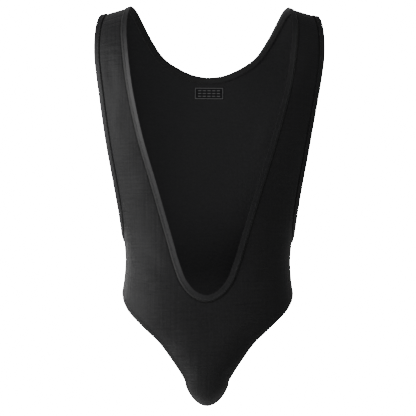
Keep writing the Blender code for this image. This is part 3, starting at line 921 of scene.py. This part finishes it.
def make_binding_knit(name, specular):
    looks = Looks(name, (0.013, 0.013, 0.014), 0.53, 0.2, 0.45, specular)
    dull = looks.math("MULTIPLY_ADD", looks.read("inside"), 0.25, 0.53)
    dull = looks.math("MULTIPLY_ADD", looks.read("by_seam"), 0.10, dull)
    looks.link(dull, "Roughness")
    uv = looks.uv()
    loops = knit_loops(looks, uv, 0.0010, 0.0009)
    ribs = looks.noise(looks.scaled(uv, 500, 60), 1.0, 2.0, 0.5)
    looks.tint(
        ribs,
        (0.009, 0.009, 0.010),
        (0.020, 0.020, 0.0215),
        # The inside colour, also on the undercut wall at the opening's edge, where it is painted shade
        (0.009, 0.009, 0.0097),
        # Painted shade on the strip beside the seam
        looks.read("by_seam"),
    )
    normal = looks.bump(loops, 0.0001, 0.5)
    normal = looks.bump(ribs, 0.0004, 0.4, normal)
    looks.link(normal, "Normal")
    return looks.material


def make_thread():
    looks = Looks("black thread", (0.03, 0.03, 0.032), 0.30, 0.2, 0.4, 0.6)
    place = looks.node("ShaderNodeTexCoord").outputs["Object"]
    twist = looks.noise(place, 4200.0, 1.0, 0.5)
    looks.tint(twist, (0.014, 0.014, 0.0147), (0.036, 0.036, 0.0375))
    looks.link(looks.bump(twist, 0.0001, 0.6), "Normal")
    return looks.material


def make_label_print():
    """A smooth patch printed with a thin frame line and rows of plain bars."""
    looks = Looks("black label", (0.008, 0.008, 0.009), 0.38, 0.1, 0.4, 0.45)
    uv = looks.uv()
    parts = looks.node("ShaderNodeSeparateXYZ")
    looks.link(uv, parts.inputs[0])
    u, v = parts.outputs[0], parts.outputs[1]
    wide = looks.math("ABSOLUTE", u)
    high = looks.math("ABSOLUTE", v)
    half_width, half_height = LABEL_WIDTH / 2 - FRAME_MARGIN, LABEL_HEIGHT / 2 - FRAME_MARGIN

    def within(value, limit):
        return looks.math("LESS_THAN", value, limit)

    outer = looks.times(within(wide, half_width), within(high, half_height))
    inner = looks.times(within(wide, half_width - FRAME_LINE), within(high, half_height - FRAME_LINE))
    frame_line = looks.math("SUBTRACT", outer, inner)
    # Three rows of bars, each row 5 mm below the last
    row = looks.math("ABSOLUTE", looks.math("WRAP", v, BAR_ROOM[1], -BAR_ROOM[1]))
    row = within(row, BAR[1])
    bar = looks.math("ABSOLUTE", looks.math("WRAP", u, BAR_ROOM[0], -BAR_ROOM[0]))
    bar = within(bar, BAR[0])
    field = looks.times(within(wide, FIELD[0]), within(high, FIELD[1]))
    bars = looks.times(looks.times(row, bar), field)
    print_mask = looks.math("MAXIMUM", frame_line, bars)
    looks.tint(print_mask, (0.009, 0.009, 0.0098), (0.15, 0.15, 0.155))
    weave = looks.noise(looks.scaled(uv, 900, 900), 1.0, 1.0, 0.5)
    looks.link(looks.bump(weave, 0.0001, 0.4), "Normal")
    return looks.material


def make_label(material):
    """The neck label, inside the back panel, under the neckline."""
    columns, rows = 24, 10
    x = np.linspace(-LABEL_WIDTH / 2, LABEL_WIDTH / 2, columns + 1)
    z = np.linspace(LABEL_MIDDLE + LABEL_HEIGHT / 2, LABEL_MIDDLE - LABEL_HEIGHT / 2, rows + 1)
    x, z = np.meshgrid(x, z)
    angle, level = seen(BACK, x, z)
    base = cloth(angle, level)
    base[..., 0] = x
    normal = outward(angle, level) * np.stack([np.where(x < 0, -1, 1)] + [np.ones_like(x)] * 2, axis=-1)
    normal = unit(normal * np.stack([np.abs(x) > 1e-9] + [np.ones_like(x)] * 2, axis=-1))
    lift = crease_lift(base) - WALL - LABEL_GAP
    near = base + normal * lift[..., None]
    far = base + normal * (lift - LABEL_THICK)[..., None]
    count = x.size
    ids = np.arange(count).reshape(x.shape)
    faces = []
    for r in range(rows):
        faces += strip(ids[r], ids[r + 1])
        faces += strip(ids[r] + count, ids[r + 1] + count, flip=True)
    rim = ids[0].tolist() + ids[1:, -1].tolist() + ids[-1, -2::-1].tolist() + ids[-2:0:-1, 0].tolist()
    rim.append(rim[0])
    faces += strip(rim, [v + count for v in rim], flip=True)
    flat = np.stack([x, z - LABEL_MIDDLE], axis=-1).reshape(-1, 2)
    points = np.concatenate([near.reshape(-1, 3), far.reshape(-1, 3)])
    label = make_piece("label", points, faces, material, (), np.concatenate([flat, flat]))
    sharpen(label, 40)
    return label


def area_light(name, place, target, size, power):
    light = bpy.data.lights.new(name, "AREA")
    light.shape = "RECTANGLE"
    light.size, light.size_y = size
    light.energy = power
    lamp = new_object(name, light)
    lamp.location = place
    way = [t - p for t, p in zip(target, place)]
    lamp.rotation_euler = Vector(way).to_track_quat("-Z", "Y").to_euler()
    return lamp


def set_studio():
    world = bpy.data.worlds.new("white studio")
    bpy.context.scene.world = world
    world.use_nodes = True
    tree = world.node_tree
    tree.nodes.clear()
    out = tree.nodes.new("ShaderNodeOutputWorld")
    mix = tree.nodes.new("ShaderNodeMixShader")
    rays = tree.nodes.new("ShaderNodeLightPath")
    tree.links.new(rays.outputs["Is Camera Ray"], mix.inputs["Fac"])
    # The camera sees plain white, and the garment gets little light from it
    for socket, strength in ((1, 0.05), (2, 30.0)):
        white = tree.nodes.new("ShaderNodeBackground")
        white.inputs["Color"].default_value = (1, 1, 1, 1)
        white.inputs["Strength"].default_value = strength
        tree.links.new(white.outputs[0], mix.inputs[socket])
    tree.links.new(mix.outputs[0], out.inputs["Surface"])
    area_light("key light", (-2.75, -0.80, -0.15), (0, 0, -0.3), (1.6, 2.2), 65)
    fill = area_light("fill light", (0.1, -3.4, 0.25), (0, 0, -0.3), (1.0, 1.2), 36)
    fill.visible_glossy = False
    area_light("high light", (1.4, -2.6, 1.4), (0, 0, -0.15), (1.6, 1.2), 16)
    area_light("back light", (-2.2, 2.3, -0.1), (0, 0, -0.35), (1.8, 1.8), 24)


# The camera's sensor in millimetres, and its distance and how much width it sees there, in metres
SENSOR = 36
CAMERA_DISTANCE = 4.0
VIEW_WIDTH = 416 * 0.00175


def set_camera():
    data = bpy.data.cameras.new("camera")
    data.sensor_width = SENSOR
    data.sensor_fit = "HORIZONTAL"
    camera = new_object("camera", data)
    data.lens = SENSOR * CAMERA_DISTANCE / VIEW_WIDTH
    camera.location = (-0.0004, -CAMERA_DISTANCE, -0.351)
    camera.rotation_euler = (SIDE, -math.radians(0.4), 0)
    data.clip_end = 60
    bpy.context.scene.camera = camera


def make_floor():
    bpy.ops.mesh.primitive_circle_add(vertices=96, radius=1.4, fill_type="NGON", location=(0, 0, -1.3))
    floor = bpy.context.active_object
    floor.name = "floor"
    looks = Looks("pale floor", (0.62, 0.62, 0.62), 0.8, 0.0, 0.5, 0.2)
    floor.data.materials.append(looks.material)
    bpy.ops.object.transform_apply(location=True)


def build():
    knit = make_knit()
    neck_knit = make_binding_knit("black neck band cloth", 0.78)
    binding_knit = make_binding_knit("black armhole band cloth", 0.42)
    thread = make_thread()
    label_print = make_label_print()

    front_neck = neck_rows(FRONT, FRONT_NECK, FRONT_NECK_ROWS)
    back_neck = neck_rows(BACK, BACK_NECK, BACK_NECK_ROWS)
    neck = Edge(np.concatenate([front_neck[::-1], back_neck[1:]]), closed=False)
    front_arm = armhole_rows(FRONT, ARMHOLE_ROWS)
    back_arm = armhole_rows(BACK, ARMHOLE_ROWS)
    armhole = Edge(np.concatenate([front_arm, back_arm[-2:0:-1]]), closed=True)

    beside = BINDING_WIDTH - BINDING_LAP
    neck_seam, neck_end = FRONT_NECK_ROWS, FRONT_NECK_ROWS + BACK_NECK_ROWS
    front_neck_line = neck.line(FRONT, list(range(neck_seam, -1, -1)), beside)
    back_neck_line = neck.line(BACK, list(range(neck_seam, neck_end + 1)), beside)
    back_rows = [0] + list(range(2 * ARMHOLE_ROWS - 1, ARMHOLE_ROWS - 1, -1))
    front_arm_line = armhole.line(FRONT, list(range(ARMHOLE_ROWS + 1)), beside)
    back_arm_line = armhole.line(BACK, back_rows, beside)

    panels, hem_lines = [], []
    for name, shape, neck_line, arm_line in (
        ("front_cloth", FRONT, front_neck_line, front_arm_line),
        ("back_cloth", BACK, back_neck_line, back_arm_line),
    ):
        side = np.linspace((SIDE, arm_line[-1, 1]), (SIDE, HIP_POINT), SIDE_ROWS + 1)[1:-1]
        leg = leg_rows(shape, LEG_ROWS)
        outer = np.concatenate([arm_line, side, leg])
        first, last = len(neck_line) - 1, len(outer) - 1
        knots = [(first, neck_line[-1, 1]), (last, shape.bottom)]
        if first < ARMHOLE_ROWS:
            knots.insert(1, (ARMHOLE_ROWS, ARMHOLE_BOTTOM - 2 * BINDING_WIDTH))
        rows = np.arange(first + 1, last + 1)
        levels = np.interp(rows, [k[0] for k in knots], [k[1] for k in knots])
        centre = np.stack([np.full_like(levels, neck_line[-1, 0]), levels], axis=-1)
        inner = np.concatenate([neck_line, centre])
        seams = [(dense(cloth(*neck_line.T)), NECK_DIP), (dense(cloth(*arm_line.T)), ARMHOLE_DIP)]
        leg_line = dense(cloth(*leg.T))
        panel, hem_places = make_panel(name, shape, inner, outer, first, seams, leg_line, knit)
        panels.append(panel)
        for places in hem_places:
            hem_lines += [lifted_line(places, HEM_STITCH_LIFT, sign) for sign in (1, -1)]

    neck_binding = make_binding("neck_band", neck, 0, neck_knit)
    arm_bindings = [
        make_binding("armhole_band_left", armhole, 1, binding_knit),
        make_binding("armhole_band_right", armhole, -1, binding_knit),
    ]
    label = make_label(label_print)
    side = np.linspace((SIDE, front_arm_line[-1, 1]), (SIDE, HIP_POINT + 0.001), 40)
    strap = np.linspace((front_neck_line[0, 0], 0), (front_arm_line[0, 0], 0), 30)
    allowances = [
        make_allowances("side_seams_inside", [(side, 1), (side, -1)], binding_knit),
        make_allowances("shoulder_seams_inside", [(strap, 1), (strap, -1)], binding_knit),
    ]

    neck_lines = []
    for row in BINDING_STITCHES:
        places = neck.across(row.across)
        for sign in (1, -1):
            neck_lines.append(lifted_line(places, row.lift, sign))
    neck_stitches = make_stitches("neck_stitches", neck_lines, thread)
    arm_stitches = []
    for name, sign in (("armhole_stitches_left", 1), ("armhole_stitches_right", -1)):
        lines = []
        for row in BINDING_STITCHES:
            places = armhole.across(row.across)
            places = np.concatenate([places, places[:1]])
            lines.append(lifted_line(places, row.lift, sign))
        arm_stitches.append(make_stitches(name, lines, thread))

    hem_stitches = make_stitches("leg_hem_stitches", hem_lines, thread)
    sewing = [neck_stitches, *arm_stitches, hem_stitches, *allowances]
    for piece in panels + [neck_binding, *arm_bindings, label, *sewing]:
        turn_front(piece)
        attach(piece, "root")
    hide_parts("front_panel")
    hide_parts("back_panel")
    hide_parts("neck_binding")
    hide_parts("armhole_binding_left")
    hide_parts("armhole_binding_right")
    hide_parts("neck_label")


build()
make_floor()
set_studio()
set_camera()
